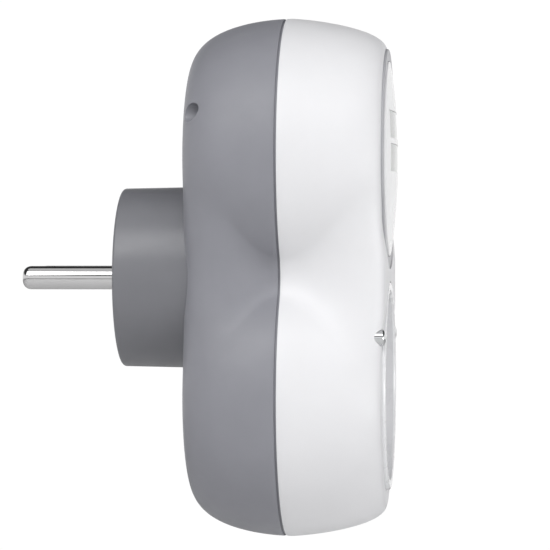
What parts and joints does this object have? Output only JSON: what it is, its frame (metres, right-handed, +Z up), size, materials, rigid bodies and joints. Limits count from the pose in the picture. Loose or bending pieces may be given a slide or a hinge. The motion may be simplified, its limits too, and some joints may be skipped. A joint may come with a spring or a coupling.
{
  "type": "plug-in power meter",
  "caption": "Figure-eight plug-in power meter: domed readout disc over a recessed pass-through socket, round mains plug behind, small chromed keys.",
  "frame": {"origin": "centre of the plug face, midway between the two pins", "axes": "+Y out along the plug pins into the wall socket, -Y is the front, +Z up, X along the line of the pins"},
  "size_m": [0.0578, 0.0765, 0.107],
  "materials": {
    "rear_plastic": "satin grey moulded shell, fine texture",
    "front_plastic": "satin white moulded shell",
    "plug_plastic": "satin mid-grey moulding",
    "pin_nickel": "polished nickel plate",
    "contact_brass": "bare stamped brass",
    "inner_plastic": "matt heat-resistant moulding",
    "shunt_alloy": "dull resistance alloy",
    "socket_plastic": "satin off-white moulding",
    "shutter_plastic": "satin off-white moulding",
    "spring_steel": "bright spring wire",
    "circuit_board": "green solder mask",
    "chip_black": "matt black moulding",
    "capacitor_yellow": "glossy yellow case",
    "capacitor_sleeve": "dark blue shrink sleeve",
    "varistor_blue": "blue dipped coating",
    "battery_steel": "plain steel cell case",
    "ribbon_grey": "grey flat ribbon",
    "lcd_glass": "grey-green reflective display",
    "strip_rubber": "pink elastomer",
    "window_clear": "clear polished window",
    "disc_plastic": "glossy white moulding",
    "bezel_plastic": "satin silver-grey moulding",
    "key_chrome": "mirror chrome plate",
    "screw_steel": "zinc-plated steel"
  },
  "bodies": {
    "case": {"rear_shell": "rear_plastic", "front_shell": "front_plastic", "plug_barrel": "plug_plastic", "pin_left": "pin_nickel", "pin_right": "pin_nickel", "plug_earth_tube": "contact_brass", "pin_block": "inner_plastic", "neutral_bar": "contact_brass", "live_bar_in": "contact_brass", "shunt": "shunt_alloy", "live_bar_out": "contact_brass", "earth_link": "contact_brass", "socket_cup": "socket_plastic", "socket_earth_pin": "pin_nickel", "shutter_spring": "spring_steel", "contact_carrier": "inner_plastic", "contact_left": "contact_brass", "contact_right": "contact_brass", "main_board": "circuit_board", "metering_chip": "chip_black", "dropper_capacitor": "capacitor_yellow", "smoothing_capacitor": "capacitor_sleeve", "varistor": "varistor_blue", "backup_battery": "battery_steel", "display_cable": "ribbon_grey", "display_board": "circuit_board", "lcd_panel": "lcd_glass", "contact_strips": "strip_rubber", "lcd_window": "window_clear", "display_disc": "disc_plastic", "bezel_ring": "bezel_plastic", "key_switches": "chip_black", "key_boards": "circuit_board", "housing_screws": "screw_steel"},
    "shutter": {"shutter": "shutter_plastic"},
    "key_left": {"key_left": "key_chrome"},
    "key_right": {"key_right": "key_chrome"}
  },
  "joints": [
    {"name": "shutter_turn", "type": "hinge", "parent": "case", "child": "shutter", "pos_m": [0, -0.03485, -0.0224], "axis": [0, -1, 0], "range_deg": [0, 38], "stiffness_Nm_per_rad": 0.002, "springref_deg": -20.05},
    {"name": "key_left_press", "type": "slide", "parent": "case", "child": "key_left", "axis": [0, 1, 0], "range_m": [0, 0.0005], "stiffness_N_per_m": 1500, "springref_m": -0.0004},
    {"name": "key_right_press", "type": "slide", "parent": "case", "child": "key_right", "axis": [0, 1, 0], "range_m": [0, 0.0005], "stiffness_N_per_m": 1500, "springref_m": -0.0004}
  ]
}
